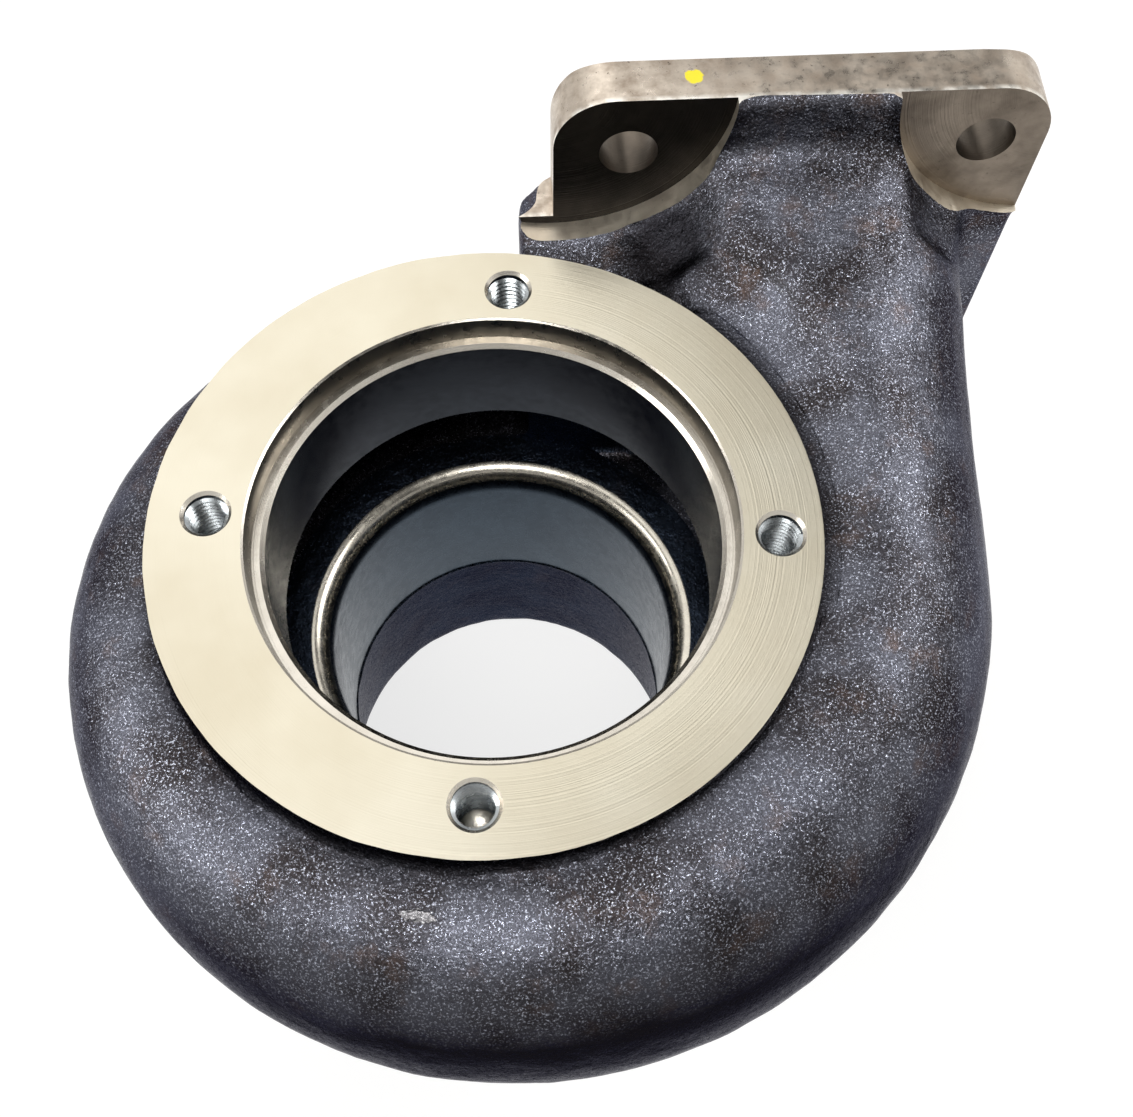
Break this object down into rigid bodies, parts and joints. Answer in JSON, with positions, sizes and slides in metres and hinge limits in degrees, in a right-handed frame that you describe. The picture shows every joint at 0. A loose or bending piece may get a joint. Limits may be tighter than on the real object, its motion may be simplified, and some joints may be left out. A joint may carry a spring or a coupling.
{
  "type": "turbocharger turbine housing",
  "caption": "Cast iron scroll housing of a turbocharger turbine, with a bolted inlet flange, a machined bearing bore and ring, and a round outlet.",
  "frame": {"origin": "middle of the bottom of the whole part, which stands on its outlet face", "axes": "+Z along the turbine axis towards the bearing side, +Y out of the inlet flange's mating face"},
  "size_m": [0.193, 0.1738, 0.163],
  "materials": {
    "cast_iron": "dark sand-cast surface with bright machined faces"
  },
  "bodies": {
    "root": {"turbine_housing": "cast_iron"}
  },
  "joints": []
}
